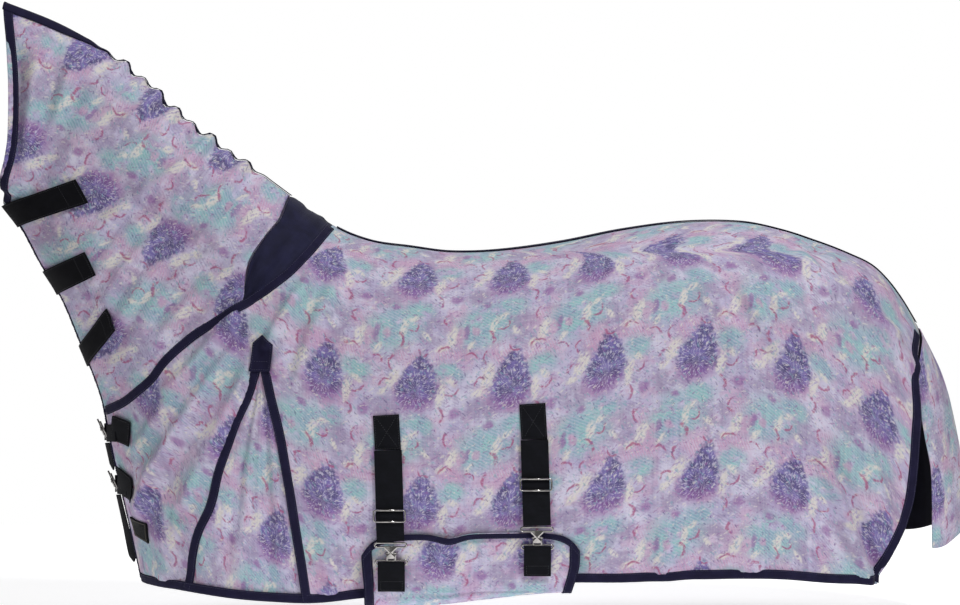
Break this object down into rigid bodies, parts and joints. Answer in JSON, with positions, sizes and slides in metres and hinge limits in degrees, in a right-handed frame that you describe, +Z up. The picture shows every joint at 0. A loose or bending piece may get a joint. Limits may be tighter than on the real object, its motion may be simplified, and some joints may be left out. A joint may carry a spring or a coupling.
{
  "type": "horse fly sheet",
  "caption": "Horse fly sheet with fixed neck, shoulder gussets, surcingle straps hooked to a belly bib, neck tabs, chest clips and a swinging tail flap",
  "frame": {"origin": "on the spine over the withers, at the underside of the cloth", "axes": "+X along the back towards the tail, +Y to the horse's off (right) side, +Z up; the near (left) side is at -Y"},
  "size_m": [1.9185, 0.5496, 1.2095],
  "materials": {
    "printed_mesh": "fine woven polyester mesh, printed with a soft lilac, teal and violet pattern",
    "navy_binding": "woven edge tape",
    "stretch_cloth": "smooth stretch knit",
    "black_lining": "thin smooth lining",
    "woven_label": "woven, blank",
    "black_webbing": "ribbed polyester webbing",
    "bright_metal": "polished nickel plate"
  },
  "bodies": {
    "root": {"near_body_panel": "printed_mesh", "off_body_panel": "printed_mesh", "near_neck_panel": "printed_mesh", "off_neck_panel": "printed_mesh", "withers_stretch_panel": "stretch_cloth", "near_shoulder_gusset": "printed_mesh", "off_shoulder_gusset": "printed_mesh", "near_gusset_binding": "navy_binding", "off_gusset_binding": "navy_binding", "near_gusset_tip": "navy_binding", "off_gusset_tip": "navy_binding", "near_hem_binding": "navy_binding", "off_hem_binding": "navy_binding", "near_rear_binding": "navy_binding", "off_rear_binding": "navy_binding", "near_neck_seam_binding": "navy_binding", "off_neck_seam_binding": "navy_binding", "spine_binding": "navy_binding", "crest_binding": "navy_binding", "near_head_binding": "navy_binding", "off_head_binding": "navy_binding", "near_front_binding": "navy_binding", "off_front_binding": "navy_binding", "woven_label": "woven_label", "front_strap_anchor": "black_webbing", "rear_strap_anchor": "black_webbing", "bib_off_seam": "navy_binding", "neck_tab_bases": "black_webbing", "upper_chest_tab": "black_webbing", "lower_chest_tab": "black_webbing", "upper_chest_catch": "bright_metal", "lower_chest_catch": "bright_metal", "upper_chest_strap": "black_webbing", "lower_chest_strap": "black_webbing"},
    "bib": {"belly_bib": "printed_mesh", "bib_binding": "navy_binding", "front_bib_tab": "black_webbing", "rear_bib_tab": "black_webbing", "front_bib_catch": "bright_metal", "rear_bib_catch": "bright_metal"},
    "front_strap": {"front_strap_webbing": "black_webbing"},
    "rear_strap": {"rear_strap_webbing": "black_webbing"},
    "front_adjuster": {"front_strap_adjuster": "bright_metal"},
    "rear_adjuster": {"rear_strap_adjuster": "bright_metal"},
    "front_hook": {"front_strap_hook": "bright_metal"},
    "rear_hook": {"rear_strap_hook": "bright_metal"},
    "upper_tab": {"upper_neck_tab": "black_webbing"},
    "middle_tab": {"middle_neck_tab": "black_webbing"},
    "lower_tab": {"lower_neck_tab": "black_webbing"},
    "upper_clip": {"upper_chest_hook": "bright_metal"},
    "lower_clip": {"lower_chest_hook": "bright_metal"},
    "upper_tail": {"upper_chest_tail": "black_webbing"},
    "lower_tail": {"lower_chest_tail": "black_webbing"},
    "flap": {"tail_flap": "printed_mesh", "tail_flap_lining": "black_lining"}
  },
  "joints": [
    {"name": "bib_swing", "type": "hinge", "parent": "root", "child": "bib", "pos_m": [0.276, 0.264, -0.59], "axis": [1, 0, 0], "range_deg": [0, 80]},
    {"name": "front_strap_swing", "type": "hinge", "parent": "root", "child": "front_strap", "pos_m": [0.118, -0.2735, -0.4278], "axis": [-1, 0, 0], "range_deg": [0, 80]},
    {"name": "front_adjuster_slide", "type": "slide", "parent": "front_strap", "child": "front_adjuster", "axis": [0, 0, 1], "range_m": [-0.03, 0.09]},
    {"name": "front_hook_swing", "type": "hinge", "parent": "front_strap", "child": "front_hook", "pos_m": [0.118, -0.2735, -0.608], "axis": [-1, 0, 0], "range_deg": [0, 60]},
    {"name": "rear_strap_swing", "type": "hinge", "parent": "root", "child": "rear_strap", "pos_m": [0.398, -0.2735, -0.4078], "axis": [-1, 0, 0], "range_deg": [0, 80]},
    {"name": "rear_adjuster_slide", "type": "slide", "parent": "rear_strap", "child": "rear_adjuster", "axis": [0, 0, 1], "range_m": [-0.03, 0.045]},
    {"name": "rear_hook_swing", "type": "hinge", "parent": "rear_strap", "child": "rear_hook", "pos_m": [0.398, -0.2735, -0.578], "axis": [-1, 0, 0], "range_deg": [0, 60]},
    {"name": "upper_tab_peel", "type": "hinge", "parent": "root", "child": "upper_tab", "pos_m": [-0.6465, -0.012, 0.021], "axis": [0.5682, 0, -0.8229], "range_deg": [0, 30]},
    {"name": "middle_tab_peel", "type": "hinge", "parent": "root", "child": "middle_tab", "pos_m": [-0.565, -0.012, -0.1125], "axis": [0.5118, 0, -0.8591], "range_deg": [0, 30]},
    {"name": "lower_tab_peel", "type": "hinge", "parent": "root", "child": "lower_tab", "pos_m": [-0.499, -0.012, -0.2575], "axis": [0.3635, 0, -0.9316], "range_deg": [0, 30]},
    {"name": "upper_clip_swing", "type": "hinge", "parent": "root", "child": "upper_clip", "pos_m": [-0.4645, 0.02, -0.408], "axis": [0, 0, -1], "range_deg": [0, 60]},
    {"name": "upper_tail_swing", "type": "hinge", "parent": "root", "child": "upper_tail", "pos_m": [-0.458, 0, -0.436], "axis": [-0.4871, 0.8661, -0.112], "range_deg": [0, 50]},
    {"name": "lower_clip_swing", "type": "hinge", "parent": "root", "child": "lower_clip", "pos_m": [-0.4435, 0.02, -0.512], "axis": [0, 0, -1], "range_deg": [0, 60]},
    {"name": "lower_tail_swing", "type": "hinge", "parent": "root", "child": "lower_tail", "pos_m": [-0.432, 0, -0.54], "axis": [-0.4871, 0.8661, -0.112], "range_deg": [0, 50]},
    {"name": "tail_flap_swing", "type": "hinge", "parent": "root", "child": "flap", "pos_m": [1.166, 0, -0.2], "axis": [0, -1, 0], "range_deg": [0, 70]}
  ]
}
